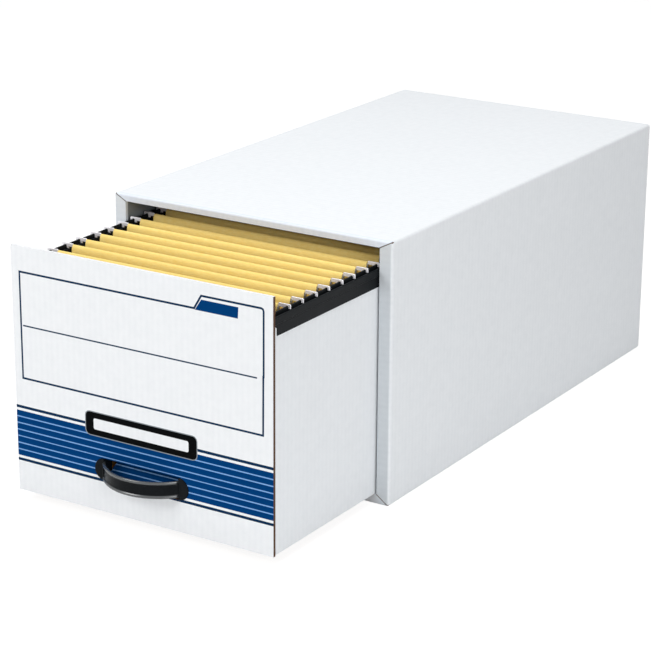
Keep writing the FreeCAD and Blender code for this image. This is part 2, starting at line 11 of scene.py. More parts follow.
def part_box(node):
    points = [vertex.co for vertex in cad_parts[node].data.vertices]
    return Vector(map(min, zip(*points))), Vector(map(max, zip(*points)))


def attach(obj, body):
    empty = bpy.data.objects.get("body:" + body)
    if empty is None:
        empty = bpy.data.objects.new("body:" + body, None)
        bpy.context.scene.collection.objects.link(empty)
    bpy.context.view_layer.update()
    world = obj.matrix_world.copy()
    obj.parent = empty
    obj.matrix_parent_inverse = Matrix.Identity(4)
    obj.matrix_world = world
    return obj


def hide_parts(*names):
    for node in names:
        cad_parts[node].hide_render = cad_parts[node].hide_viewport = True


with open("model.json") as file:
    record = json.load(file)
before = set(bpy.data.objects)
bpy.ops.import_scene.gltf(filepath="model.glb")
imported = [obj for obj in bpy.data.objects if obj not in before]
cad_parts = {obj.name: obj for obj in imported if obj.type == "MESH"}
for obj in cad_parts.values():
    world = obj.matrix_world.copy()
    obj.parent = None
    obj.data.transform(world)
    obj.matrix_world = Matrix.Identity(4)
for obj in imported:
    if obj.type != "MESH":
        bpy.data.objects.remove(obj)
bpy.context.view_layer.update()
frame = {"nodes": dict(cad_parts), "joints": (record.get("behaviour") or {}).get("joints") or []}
nodes = frame["nodes"]

# Sleeve: a box of corrugated board wrapped round the drawer's bay and glued, with a white panel that closes
# the back. The board is kraft with a clay coat outside: a matt, faintly mottled white over flutes that just
# show through, and matt brown fibres where it is cut or bare.
MM = 1000
COAT_WHITE, COAT_SHADE = "EFF2F5", "D9DCDF"
KRAFT_DARK, KRAFT_LIGHT = "7F5C3B", "A98258"
COAT_ROUGH, KRAFT_ROUGH = 0.7, 0.85
BOARD_GLEAM = 0.02
FACING_LEAST = 0.3

# The flutes are 7.2 mm apart, and a wave texture of scale 1 repeats every 0.31416. The coat's clouds are
# about 9 mm across. The fibres are 0.8 mm thick, coarser than real ones, which are too fine to show.
FLUTE_PITCH = 7.2
WAVE_REPEAT = 0.31416
CLOUDS_PER_MM = 0.11
FIBRES_PER_MM = 1.3
FIBRE_STOPS = (0.3, 0.7)
CLOUD_FROM, CLOUD_TO = 0.35, 0.75
CLOUD_SHADE, FLUTE_SHADE = 0.14, 0.06

# The relief's depth in mm, and how high the flutes and fibres stand in it where the clouds are 1.
BOARD_RELIEF = 0.08
FLUTE_RISE, FIBRE_RISE = 0.5, 0.12


def colour(code):
    """The linear colour of an sRGB hex code: c / 12.92 up to 0.04045, and ((c + 0.055) / 1.055) to the 2.4
    above it."""
    c = np.array([int(code[i : i + 2], 16) for i in (0, 2, 4)]) / 255
    linear = np.where(c <= 0.04045, c / 12.92, ((c + 0.055) / 1.055) ** 2.4)
    return (*linear.tolist(), 1.0)


def add(tree, kind, inputs=None, stops=(), **settings):
    """Adds a node with its settings. Each input is another node's socket, or a value for the socket itself,
    and stops are the positions and hex colours of a colour ramp."""
    made = tree.nodes.new(kind)
    for name, value in settings.items():
        setattr(made, name, value)
    for socket, value in (inputs or {}).items():
        if isinstance(value, bpy.types.NodeSocket):
            tree.links.new(value, made.inputs[socket])
        else:
            made.inputs[socket].default_value = value
    if stops:
        elements = made.color_ramp.elements
        elements.remove(elements[1])
        (elements[0].position, code), *others = stops
        elements[0].color = colour(code)
        for position, code in others:
            elements.new(position).color = colour(code)
    return made


def new_material(name, roughness, metallic=0.0, ior=1.5, gleam=0.5):
    """A material with its shader, and the object's own coordinates in millimetres. gleam is the strength of
    the reflection: 0.5 for a clean smooth surface, less where fibres or a fine grain break it up."""
    material = bpy.data.materials.new(name)
    material.use_nodes = True
    tree = material.node_tree
    shader = tree.nodes["Principled BSDF"]
    shader.inputs["Roughness"].default_value = roughness
    shader.inputs["Metallic"].default_value = metallic
    shader.inputs["Specular IOR Level"].default_value = gleam
    if not metallic:
        shader.inputs["IOR"].default_value = ior
    where = add(tree, "ShaderNodeTexCoord").outputs["Object"]
    place = add(tree, "ShaderNodeVectorMath", {0: where, "Scale": MM}, operation="SCALE").outputs[0]
    return material, tree, shader, place


def finish_nodes(names, material):
    """Puts a material on the slots of the named CAD pieces."""
    for name in names:
        for holder in nodes[name].material_slots:
            holder.material = material


def greatest_dot(tree, vector, others):
    """The greatest of a vector's dot products with the others."""
    dots = [
        add(tree, "ShaderNodeVectorMath", {0: vector, 1: other}, operation="DOT_PRODUCT").outputs["Value"]
        for other in others
    ]
    greatest = dots[0]
    for dot in dots[1:]:
        greatest = add(tree, "ShaderNodeMath", {0: greatest, 1: dot}, operation="MAXIMUM").outputs[0]
    return greatest


def coat_mask(tree, place, coated, run, fold):
    """1 where a face has the coat, and 0 where it is bare. A face has it above the fold, and where the
    greatest cosine of its normal with the coated directions, less the size of its cosine with the run, is
    more than FACING_LEAST."""
    normal = add(tree, "ShaderNodeTexCoord").outputs["Normal"]
    looks = greatest_dot(tree, normal, coated)
    if run:
        ends = greatest_dot(tree, normal, [run])
        ends = add(tree, "ShaderNodeMath", {0: ends}, operation="ABSOLUTE").outputs[0]
        looks = add(tree, "ShaderNodeMath", {0: looks, 1: ends}, operation="SUBTRACT").outputs[0]
    if fold:
        height = add(tree, "ShaderNodeSeparateXYZ", {0: place}).outputs[2]
        above = add(tree, "ShaderNodeMath", {0: height, 1: fold}, operation="GREATER_THAN").outputs[0]
        looks = add(tree, "ShaderNodeMath", {0: looks, 1: above}, operation="MAXIMUM").outputs[0]
    return add(tree, "ShaderNodeMath", {0: looks, 1: FACING_LEAST}, operation="GREATER_THAN").outputs[0]


def corrugated_board(
    name, coated, flute, coat=None, fold=None, turn=None, run=None, bare=(KRAFT_DARK, KRAFT_LIGHT)
):
    """Corrugated board, white clay-coated on the faces that look along one of the coated directions and
    brown kraft elsewhere. Its flutes show as faint ridges that follow one another along the flute axis.
    coat gives the printed colour, fold is a height above which the coat goes round the top edge, turn
    carries a tilted piece's coordinates back to where its print was made, and run is the direction that a
    narrow piece runs in, whose mitred ends stay brown."""
    material, tree, shader, place = new_material(name, KRAFT_ROUGH, gleam=BOARD_GLEAM)
    if turn:
        place = add(tree, "ShaderNodeMapping", {"Vector": place, **turn}).outputs[0]
    flutes = add(
        tree,
        "ShaderNodeTexWave",
        {"Vector": place, "Scale": WAVE_REPEAT / FLUTE_PITCH, "Distortion": 0.5, "Detail Scale": 0.4},
        bands_direction=flute,
    ).outputs["Fac"]
    clouds = add(
        tree,
        "ShaderNodeTexNoise",
        {"Vector": place, "Scale": CLOUDS_PER_MM, "Detail": 7.0, "Roughness": 0.62},
    ).outputs["Fac"]
    fibres = add(
        tree,
        "ShaderNodeTexNoise",
        {"Vector": place, "Scale": FIBRES_PER_MM, "Detail": 4.0, "Roughness": 0.7},
    ).outputs["Fac"]

    surface = add(tree, "ShaderNodeValToRGB", {"Fac": fibres}, stops=zip(FIBRE_STOPS, bare)).outputs[0]
    if coated:
        mask = coat_mask(tree, place, coated, run, fold)
        shade = add(
            tree, "ShaderNodeMapRange", {0: clouds, 1: CLOUD_FROM, 2: CLOUD_TO, 3: 0.0, 4: CLOUD_SHADE}
        ).outputs[0]
        shade = add(
            tree, "ShaderNodeMath", {0: flutes, 1: FLUTE_SHADE, 2: shade}, operation="MULTIPLY_ADD"
        ).outputs[0]
        white = coat(tree, place) if coat else colour(COAT_WHITE)
        shaded = add(
            tree,
            "ShaderNodeMix",
            {0: shade, 6: white, 7: colour(COAT_SHADE)},
            data_type="RGBA",
            blend_type="MULTIPLY",
        ).outputs[2]
        surface = add(tree, "ShaderNodeMix", {0: mask, 6: surface, 7: shaded}, data_type="RGBA").outputs[2]
        rough = add(tree, "ShaderNodeMapRange", {0: mask, 3: KRAFT_ROUGH, 4: COAT_ROUGH}).outputs[0]
        tree.links.new(rough, shader.inputs["Roughness"])
    tree.links.new(surface, shader.inputs["Base Color"])

    height = add(
        tree, "ShaderNodeMath", {0: flutes, 1: FLUTE_RISE, 2: clouds}, operation="MULTIPLY_ADD"
    ).outputs[0]
    height = add(
        tree, "ShaderNodeMath", {0: fibres, 1: FIBRE_RISE, 2: height}, operation="MULTIPLY_ADD"
    ).outputs[0]
    bump = add(
        tree, "ShaderNodeBump", {"Strength": 0.5, "Distance": BOARD_RELIEF / MM, "Height": height}
    ).outputs[0]
    tree.links.new(bump, shader.inputs["Normal"])
    return material


LEFT, RIGHT = (-1, 0, 0), (1, 0, 0)
AHEAD, BEHIND = (0, -1, 0), (0, 1, 0)
DOWN, UP = (0, 0, -1), (0, 0, 1)
finish_nodes(["shell_wrap"], corrugated_board("clay_coated_board_sleeve", (LEFT, RIGHT, UP, DOWN), "Y"))
finish_nodes(["back_panel"], corrugated_board("clay_coated_board_back", (BEHIND,), "X"))

# Front rims: the sleeve's front edges, folded back on themselves over the linings and mitred at the corners.
# Each rim's white is a painted shade of the coat, greyest on the right rim, which also has a painted
# highlight along its outer fold. The bruised cut board shows as a fine grey line along each mitre.
CUT_DARK, CUT_LIGHT = "45342C", "6E5444"
MITRE_GREY = "77706A"
MITRE_LINE = 1.0
MITRE_BLUR = 0.2
sleeve_low, sleeve_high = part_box("shell_wrap")
SLEEVE_HALF = sleeve_high.x * MM
BAY_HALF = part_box("rim_right")[0].x * MM
# Where the painted highlight along the right rim's outer fold fades in, as a distance across the sleeve in
# mm.
PAINTED_HIGHLIGHT_FROM, PAINTED_HIGHLIGHT_TO = SLEEVE_HALF - 2.4, SLEEVE_HALF - 0.4
MITRES = (
    (sleeve_high.z * MM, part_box("rim_top")[0].z * MM),
    (sleeve_low.z * MM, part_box("rim_bottom")[1].z * MM),
)


def lay_over(tree, under, code, distance, edge, blur):
    """Lays a colour over another where the distance is less than the edge, blurred on each side of it."""
    cover = add(
        tree, "ShaderNodeMapRange", {0: distance, 1: edge - blur, 2: edge + blur, 3: 1.0, 4: 0.0}
    ).outputs[0]
    return add(tree, "ShaderNodeMix", {0: cover, 6: under, 7: colour(code)}, data_type="RGBA").outputs[2]


def mitred_white_with_painted_light(tree, place, white, fold):
    """A rim's colour, from its own white, a painted shade of the coat, to the painted highlight along its
    outer fold. A mitre runs from the sleeve's corner to the bay's, and the distance from it is n.p - d,
    where n is square to it. p is (x, 1, z), so that is a dot product with (n across, -d, n up)."""
    parts = add(tree, "ShaderNodeSeparateXYZ", {0: place})
    across = add(tree, "ShaderNodeMath", {0: parts.outputs[0]}, operation="ABSOLUTE").outputs[0]
    point = add(tree, "ShaderNodeCombineXYZ", {0: across, 1: 1.0, 2: parts.outputs[2]}).outputs[0]
    share = add(tree, "ShaderNodeMapRange", {0: across, 1: PAINTED_HIGHLIGHT_FROM, 2: PAINTED_HIGHLIGHT_TO}).outputs[0]
    tone = add(
        tree, "ShaderNodeMix", {0: share, 6: colour(white), 7: colour(fold)}, data_type="RGBA"
    ).outputs[2]
    for corner, inner in MITRES:
        along = np.array([BAY_HALF - SLEEVE_HALF, inner - corner])
        square = np.array([-along[1], along[0]]) / np.linalg.norm(along)
        offset = square @ (SLEEVE_HALF, corner)
        away = greatest_dot(tree, point, [(float(square[0]), -float(offset), float(square[1]))])
        away = add(tree, "ShaderNodeMath", {0: away}, operation="ABSOLUTE").outputs[0]
        tone = lay_over(tree, tone, MITRE_GREY, away, MITRE_LINE / 2, MITRE_BLUR)
    return tone


# Each rim's first colour is its white, a painted shade of the coat, and the second is the painted highlight
# along its outer edge, which only the right rim has.
for rim, faces_out, run, flute, white, fold in (
    ("rim_left", (AHEAD, LEFT, RIGHT), UP, "Z", "E3E8ED", "E3E8ED"),
    ("rim_right", (AHEAD, LEFT, RIGHT), UP, "Z", "D7DCE0", "F4F7FA"),
    ("rim_top", (AHEAD, UP, DOWN), RIGHT, "X", "E5ECF7", "E5ECF7"),
    ("rim_bottom", (AHEAD, UP, DOWN), RIGHT, "X", "E0E5EA", "E0E5EA"),
):
    rim_board = corrugated_board(
        "clay_coated_board_" + rim,
        faces_out,
        flute,
        coat=lambda tree, place: mitred_white_with_painted_light(tree, place, white, fold),
        run=run,
        bare=(CUT_DARK, CUT_LIGHT),
    )
    finish_nodes([rim], rim_board)

# Linings: plain brown kraft board, matt and fibrous, cut to size and glued inside the sleeve, doubled on the
# floor and behind the steel sides, with the two side flaps folded in against the back.
kraft_board = corrugated_board("brown_kraft_board", (), "X")
finish_nodes(
    ["side_pad_left", "side_pad_right", "floor_liner", "top_liner", "back_flap_left", "back_flap_right"],
    kraft_board,
)

# Side plates: sheet steel, painted mid grey, pressed with a front flange and one shallow step so that the
# sleeve stays square when boxes are stacked. The paint's slight orange peel, 1.3 mm apart, gives it a soft
# gloss, over clouds of 50 mm in its colour.
STEEL_DARK, STEEL_LIGHT = "7B8185", "8A9195"
PAINT_ROUGH = 0.42
PAINT_CLOUDS_PER_MM = 0.02
PEEL_PER_MM = 0.8
PEEL_RELIEF = 0.1
steel, tree, shader, place = new_material("grey_painted_steel", PAINT_ROUGH)
cloud = add(
    tree, "ShaderNodeTexNoise", {"Vector": place, "Scale": PAINT_CLOUDS_PER_MM, "Detail": 4.0}
).outputs["Fac"]
tone = add(tree, "ShaderNodeValToRGB", {"Fac": cloud}, stops=((0, STEEL_DARK), (1, STEEL_LIGHT)))
tree.links.new(tone.outputs[0], shader.inputs["Base Color"])
peel = add(tree, "ShaderNodeTexNoise", {"Vector": place, "Scale": PEEL_PER_MM, "Detail": 3.0}).outputs["Fac"]
bump = add(tree, "ShaderNodeBump", {"Strength": 0.4, "Distance": PEEL_RELIEF / MM, "Height": peel})
tree.links.new(bump.outputs[0], shader.inputs["Normal"])
finish_nodes(["steel_plate_left", "steel_plate_right"], steel)

# Drawer tray: one board folded up into two sides and a back, white outside and brown inside, on a loose
# brown floor board. The inner ply of the front is brown too.
for side, outward in (("left", LEFT), ("right", RIGHT)):
    side_board = corrugated_board("clay_coated_board_tray_" + side, (outward,), "Y")
    finish_nodes(["tray_side_" + side], side_board)
finish_nodes(["tray_back"], corrugated_board("clay_coated_board_tray_back", (BEHIND,), "X"))
finish_nodes(["tray_floor", "front_liner", "tray_front_inner"], kraft_board)

# Drawer front: clay-coated board, printed in matt inks with a write-on frame and a striped blue band, and
# folded back on itself at the top, from FOLD_HEIGHT up, so that only its sides and foot show brown.
NAVY, BLUE, SKY = "12304E", "003B73", "7BA7DC"
PRINT_WHITE = "F1F3F5"
FIELD_GREY, FIELD_BLACK = "8D9499", "090A0B"
INK_BLUR = 0.12
FOLD_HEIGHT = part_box("front_panel")[1].z * MM - 0.2

# The band's stripes, by their heights: the sky lines are measured down from its top, and the navy lines and
# the white gaps inside them in from its own edges. The ramp that holds them is RAMP_LOW to RAMP_HIGH.
BAND_TOP, BAND_FOOT = 107.9, 45.3
TOP_LINE, TOP_GAP = 3.1, 6.0
FOOT_LINE, FOOT_GAP = 3.0, 5.9
SKY_LINES = (12.8, 20.1, 27.6, 34.9, 42.5, 49.9)
SKY_WIDTH = 1.3
RAMP_LOW, RAMP_HIGH = 40.0, 112.0

# The frame is a low part and a raised part on its right, drawn in one line round both. Corners are (x, z),
# clockwise, and the label's field and bar are left, right, foot, top and corner radius.
FRAME_LINE = 2.2
LOW_FRAME = ((-151.6, 255.6), (151.0, 255.6), (150.2, 139.0), (-151.8, 139.2))
HIGH_FRAME = (
    (69.1, 255.6),
    (77.7, 269.8),
    (148.4, 269.7),
    (150.4, 268.9),
    (151.2, 266.7),
    (151.0, 200),
    (69.1, 200),
)
MIDDLE_LINE = ((-148.7, 197.8), (142.8, 197.8), (142.8, 197.2), (-148.7, 197.2))
MIDDLE_EDGE = 0.5
TAB = ((77.7, 265.9), (121.8, 265.9), (121.1, 254.2), (69.9, 254.2))
LABEL_FIELD = (-70, 70, 95.0, 120.0, 5)
LABEL_BAR = (-60, 60, 101.5, 113.5, 2)
LABEL_EDGE = 1.0
ARC_STEPS = 4


def print_distance(tree, point, corners):
    """The distance in mm outside a printed shape with straight sides, negative inside it: the greatest of
    n.p - d over its sides, worked out from its corners in clockwise order. As in a mitre, point is
    (x, 1, z)."""
    corners = np.array(corners, float)
    along = np.roll(corners, -1, axis=0) - corners
    outward = np.stack([-along[:, 1], along[:, 0]], axis=1)
    outward /= np.linalg.norm(outward, axis=1, keepdims=True)
    offset = (outward * corners).sum(axis=1)
    sides = np.stack([outward[:, 0], -offset, outward[:, 1]], axis=1)
    return greatest_dot(tree, point, sides.tolist())


def round_corners(left, right, low, high, radius):
    """The clockwise corners of a rectangle whose own corners are arcs: centre + radius (cos a, sin a)."""
    points = []
    for x, z, start in (
        (right - radius, high - radius, 90),
        (right - radius, low + radius, 0),
        (left + radius, low + radius, -90),
        (left + radius, high - radius, -180),
    ):
        turn = np.radians(np.linspace(start, start - 90, ARC_STEPS))
        points += list(zip(x + radius * np.cos(turn), z + radius * np.sin(turn)))
    return points


def striped_band(tree, place):
    """The band's colour from the height alone: navy edge lines, white gaps, and blue with thin sky lines."""
    stops = [
        (RAMP_LOW, PRINT_WHITE),
        (BAND_FOOT, NAVY),
        (BAND_FOOT + FOOT_LINE, PRINT_WHITE),
        (BAND_FOOT + FOOT_GAP, BLUE),
        (BAND_TOP - TOP_GAP, PRINT_WHITE),
        (BAND_TOP - TOP_LINE, NAVY),
        (BAND_TOP, PRINT_WHITE),
    ]
    for down in SKY_LINES:
        stops.append((BAND_TOP - down - SKY_WIDTH / 2, SKY))
        stops.append((BAND_TOP - down + SKY_WIDTH / 2, BLUE))
    shares = [((level - RAMP_LOW) / (RAMP_HIGH - RAMP_LOW), code) for level, code in sorted(stops)]
    height = add(tree, "ShaderNodeSeparateXYZ", {0: place}).outputs[2]
    share = add(tree, "ShaderNodeMapRange", {0: height, 1: RAMP_LOW, 2: RAMP_HIGH}).outputs[0]
    ramp = add(tree, "ShaderNodeValToRGB", {"Fac": share}, stops=shares)
    ramp.color_ramp.interpolation = "CONSTANT"
    return ramp.outputs[0]


def front_print(tree, place):
    """The whole print of the drawer front: the band, the write-on frame and its middle line, the blue tab,
    and a plain dark label field with a white bar to write on."""
    parts = add(tree, "ShaderNodeSeparateXYZ", {0: place})
    point = add(
        tree, "ShaderNodeCombineXYZ", {0: parts.outputs[0], 1: 1.0, 2: parts.outputs[2]}
    ).outputs[0]
    low_part, high_part, middle, tab, field, bar = [
        print_distance(tree, point, corners)
        for corners in (
            LOW_FRAME,
            HIGH_FRAME,
            MIDDLE_LINE,
            TAB,
            round_corners(*LABEL_FIELD),
            round_corners(*LABEL_BAR),
        )
    ]
    either = add(tree, "ShaderNodeMath", {0: low_part, 1: high_part}, operation="MINIMUM").outputs[0]
    outline = add(tree, "ShaderNodeMath", {0: either}, operation="ABSOLUTE").outputs[0]
    printed = striped_band(tree, place)
    for code, distance, edge in (
        (NAVY, outline, FRAME_LINE / 2),
        (NAVY, middle, MIDDLE_EDGE),
        (BLUE, tab, 0.0),
        (FIELD_GREY, field, LABEL_EDGE),
        (FIELD_BLACK, field, 0.0),
        (PRINT_WHITE, bar, 0.0),
    ):
        printed = lay_over(tree, printed, code, distance, edge, INK_BLUR)
    return printed


front_board = corrugated_board(
    "clay_coated_board_front",
    (AHEAD,),
    "X",
    coat=front_print,
    fold=FOLD_HEIGHT,
    bare=(CUT_DARK, CUT_LIGHT),
)
finish_nodes(["front_panel"], front_board)

# Push-in flap: the piece of the front that the hand pushes in behind the grip, hinged at its lower crease.
# It keeps the band's stripes, so its coordinates are turned back about the crease, as far as the hinge's
# closed limit, to where it was printed.
hinge = next(joint for joint in frame["joints"] if joint["name"] == "handle_flap_hinge")
CREASE = np.array(hinge["pos_m"]) * MM
FLAP_TILT = float(np.radians(-hinge["range_deg"][0]))
back_up = np.array(Matrix.Rotation(FLAP_TILT, 3, "X"))
flap_board = corrugated_board(
    "clay_coated_board_flap",
    ((0, -float(np.cos(FLAP_TILT)), float(np.sin(FLAP_TILT))),),
    "X",
    coat=striped_band,
    turn={"Location": (CREASE - back_up @ CREASE).tolist(), "Rotation": (FLAP_TILT, 0, 0)},
)
finish_nodes(["handle_flap"], flap_board)

# Rails and the grip's retainer: black polypropylene, injection moulded and pushed over the tray's edges. The
# mould's fine grain keeps them dull, over clouds of 20 mm in their colour. The grain is drawn 0.45 mm
# across, coarser than the real one, which is too fine to show.
PLASTIC_BLACK, PLASTIC_SHEEN = "0E1113", "16191C"
PLASTIC_IOR = 1.49
PLASTIC_CLOUDS_PER_MM = 0.05
GRAINS_PER_MM = 2.2
GRAIN_RELIEF = 0.1
RAIL_ROUGH, RAIL_GLEAM = (0.34, 0.5), 0.07


def black_polypropylene(name, rough, gleam):
    """Black moulded plastic, with a faint cloud in its colour and a fine grain in its gloss and relief.
    rough is its least and greatest roughness."""
    plastic, tree, shader, place = new_material(name, rough[1], ior=PLASTIC_IOR, gleam=gleam)
    grain = add(
        tree, "ShaderNodeTexNoise", {"Vector": place, "Scale": GRAINS_PER_MM, "Detail": 3.0}
    ).outputs["Fac"]
    cloud = add(
        tree, "ShaderNodeTexNoise", {"Vector": place, "Scale": PLASTIC_CLOUDS_PER_MM, "Detail": 3.0}
    ).outputs["Fac"]
    tone = add(tree, "ShaderNodeValToRGB", {"Fac": cloud}, stops=((0, PLASTIC_BLACK), (1, PLASTIC_SHEEN)))
    tree.links.new(tone.outputs[0], shader.inputs["Base Color"])
    gloss = add(tree, "ShaderNodeMapRange", {0: grain, 3: rough[0], 4: rough[1]}).outputs[0]
    tree.links.new(gloss, shader.inputs["Roughness"])
    bump = add(tree, "ShaderNodeBump", {"Strength": 0.35, "Distance": GRAIN_RELIEF / MM, "Height": grain})
    tree.links.new(bump.outputs[0], shader.inputs["Normal"])
    return plastic, tree, shader, place


dull_plastic = black_polypropylene("moulded_polypropylene", RAIL_ROUGH, RAIL_GLEAM)[0]
finish_nodes(["rail_left", "rail_right", "handle_retainer"], dull_plastic)

# Grip: a bowed band with a rounded lip along each edge, moulded in one with the two end blocks that fill the
# ends of the hand hole. It is polypropylene again, from a polished mould, and its lips are glossier as far
# as the end blocks, and paler there with a painted highlight.
HOLE_HEIGHT = 59.3
BLOCK_RADIUS, BLOCK_CENTRE, BLOCK_CHORD = 11.95, 47.25, 47.5
LIP_HIGHLIGHT_GREY = "3C4042"
LIP_FROM, LIP_TO = 5.6, 6.3
LIP_FADE = 1
GRIP_ROUGH, GRIP_GLEAM, LIP_GLEAM = (0.16, 0.28), 0.06, 1.0
grip_plastic, tree, shader, place = black_polypropylene("polished_polypropylene", GRIP_ROUGH, GRIP_GLEAM)
parts = add(tree, "ShaderNodeSeparateXYZ", {0: place})
height = add(tree, "ShaderNodeMath", {0: parts.outputs[2], 1: HOLE_HEIGHT}, operation="SUBTRACT").outputs[0]
height = add(tree, "ShaderNodeMath", {0: height}, operation="ABSOLUTE").outputs[0]
across = add(tree, "ShaderNodeMath", {0: parts.outputs[0]}, operation="ABSOLUTE").outputs[0]
between = add(
    tree, "ShaderNodeMapRange", {0: across, 1: BLOCK_CHORD - LIP_FADE, 2: BLOCK_CHORD, 3: 1.0, 4: 0.0}
).outputs[0]
lip = add(tree, "ShaderNodeMapRange", {0: height, 1: LIP_FROM, 2: LIP_TO}).outputs[0]
lip = add(tree, "ShaderNodeMath", {0: lip, 1: between}, operation="MULTIPLY").outputs[0]
polish = add(tree, "ShaderNodeMapRange", {0: lip, 3: GRIP_GLEAM, 4: LIP_GLEAM}).outputs[0]
tree.links.new(polish, shader.inputs["Specular IOR Level"])
plain = shader.inputs["Base Color"].links[0].from_socket
# The lips' paler grey is a painted highlight.
lip_highlight = add(tree, "ShaderNodeMix", {0: lip, 6: plain, 7: colour(LIP_HIGHLIGHT_GREY)}, data_type="RGBA").outputs[2]
tree.links.new(lip_highlight, shader.inputs["Base Color"])

SHARP_ANGLE = np.radians(35)
WELD = 0.001


def solid(name, points, faces, body, material):
    """A closed mesh piece in metres from points in mm, facing outwards, shaded smooth but for its sharp
    edges, which rides on a body and takes the material that it is given."""
    mesh = bpy.data.meshes.new(name)
    mesh.from_pydata((np.asarray(points) / MM).tolist(), [], faces)
    made = bmesh.new()
    made.from_mesh(mesh)
    bmesh.ops.remove_doubles(made, verts=made.verts, dist=WELD / MM)
    bmesh.ops.recalc_face_normals(made, faces=made.faces)
    made.to_mesh(mesh)
    made.free()
    mesh.shade_smooth()
    mesh.set_sharp_from_angle(angle=SHARP_ANGLE)
    mesh.materials.append(material)
    piece = bpy.data.objects.new(name, mesh)
    bpy.context.scene.collection.objects.link(piece)
    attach(piece, body)
    return piece


def tube_faces(around, along, start=0):
    """Faces of a closed section carried through its stations, as a grid that joins up round the section,
    with one face over each end. Point i of station k is start + k x around + i."""
    i, k = np.meshgrid(np.arange(around), np.arange(along - 1))
    following = (i + 1) % around
    near, far = k * around + start, (k + 1) * around + start
    quads = np.stack([near + i, near + following, far + following, far + i], axis=-1)
    ends = np.stack([np.arange(around), np.arange(around) + (along - 1) * around]) + start
    return quads.reshape(-1, 4).tolist() + ends.tolist()


# The band's half section, from the middle of its face round the lip to the middle of its back, as distances
# out from the valley between its lips and up from the hole's middle. Seen from above, the valley is an arc
# of BOW_RADIUS about (0, BOW_CENTRE), BOW_ANGLE to each side.
GRIP_SECTION = (
    (0.0, 0.0),
    (0.0, 3.4),
    (0.05, 5.2),
    (0.35, 6.0),
    (0.95, 6.5),
    (1.2, 7.3),
    (1.15, 8.2),
    (0.6, 8.95),
    (-0.5, 9.0),
    (-1.6, 8.8),
    (-2.0, 7.9),
    (-2.0, 4.0),
    (-2.0, 0.0),
)
BOW_RADIUS = 59.88
BOW_CENTRE = -472.07
BOW_ANGLE = np.radians(55.5)
upper = np.array(GRIP_SECTION)
section = np.concatenate([upper, (upper * (1, -1))[-2:0:-1]])
turn = np.linspace(-BOW_ANGLE, BOW_ANGLE, 41)[:, None]
radius = BOW_RADIUS + section[None, :, 0]
band = np.stack(
    [
        radius * np.sin(turn),
        BOW_CENTRE - radius * np.cos(turn),
        HOLE_HEIGHT + section[None, :, 1] + 0 * turn,
    ],
    axis=-1,
)
points = [band.reshape(-1, 3)]
faces = tube_faces(len(section), len(turn))
start = len(points[0])

# End blocks: the outline is nearly half a circle closed by a chord. At each step of the rounded front edge,
# (inset, y), the arc is drawn in by the inset and the chord by half of it.
BLOCK_STEPS = ((0.0, -496.65), (0.0, -507.4), (0.25, -508.1), (0.8, -508.5), (1.6, -508.65), (4.0, -508.3))
BLOCK_SWEEP = 88
sweep = np.radians(np.linspace(-BLOCK_SWEEP, BLOCK_SWEEP, 25))
for side in (-1, 1):
    rings = []
    for inset, y in BLOCK_STEPS:
        arc_x = BLOCK_CENTRE + (BLOCK_RADIUS - inset) * np.cos(sweep)
        arc_z = HOLE_HEIGHT + (BLOCK_RADIUS - inset) * np.sin(sweep)
        chord_x = BLOCK_CHORD + inset / 2
        x = side * np.concatenate([arc_x, [chord_x, chord_x]])
        z = np.concatenate([arc_z, [arc_z[-1], arc_z[0]]])
        rings.append(np.stack([x, np.full_like(x, y), z], axis=-1))
    points.append(np.concatenate(rings))
    faces += tube_faces(len(rings[0]), len(rings), start)
    start += len(points[-1])
grip = solid("moulded_grip", np.concatenate(points), faces, "drawer", grip_plastic)
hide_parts("handle_grip")

# Hanging folders: buff manila card folded to a V, each top edge turned over as a hem round a steel strip and
# glued down on the inside. Its fibres, drawn 2 mm across and some 7 mm along the folder, make it softly
# cloudy and matt. Real ones are too fine to show.
CARD_DARK, CARD_LIGHT = "F5D475", "FCE493"
CARD_STOPS = (0.25, 0.75)
CARD_ROUGH, CARD_GLEAM = 0.7, 0.2
CARD_STRETCH = (0.3, 1.0, 1.0)
CARD_FIBRES_PER_MM = 0.5
CARD_RELIEF = 0.1
card, tree, shader, place = new_material("buff_manila_card", CARD_ROUGH, gleam=CARD_GLEAM)
stretched = add(tree, "ShaderNodeVectorMath", {0: place, 1: CARD_STRETCH}, operation="MULTIPLY").outputs[0]
fibre = add(
    tree,
    "ShaderNodeTexNoise",
    {"Vector": stretched, "Scale": CARD_FIBRES_PER_MM, "Detail": 8.0, "Roughness": 0.65},
).outputs["Fac"]
tone = add(tree, "ShaderNodeValToRGB", {"Fac": fibre}, stops=zip(CARD_STOPS, (CARD_DARK, CARD_LIGHT)))
tree.links.new(tone.outputs[0], shader.inputs["Base Color"])
bump = add(tree, "ShaderNodeBump", {"Strength": 0.5, "Distance": CARD_RELIEF / MM, "Height": fibre})
tree.links.new(bump.outputs[0], shader.inputs["Normal"])

ROD_SPACING = 23.0
CARD_THICK = 0.8
HEM_TOP, HEM_FOOT = 265.4, 250.4
HEM_HALF, HEM_ARCH = 3.2, 7.4
HEM_CLOSES = 0.35
FOLDER_FOOT = 28.6
FOLDER_HALF = 145.5
LEAF_GAP, LEAF_BOW = 0.7, 1.6
CREASE_DROP = 0.5


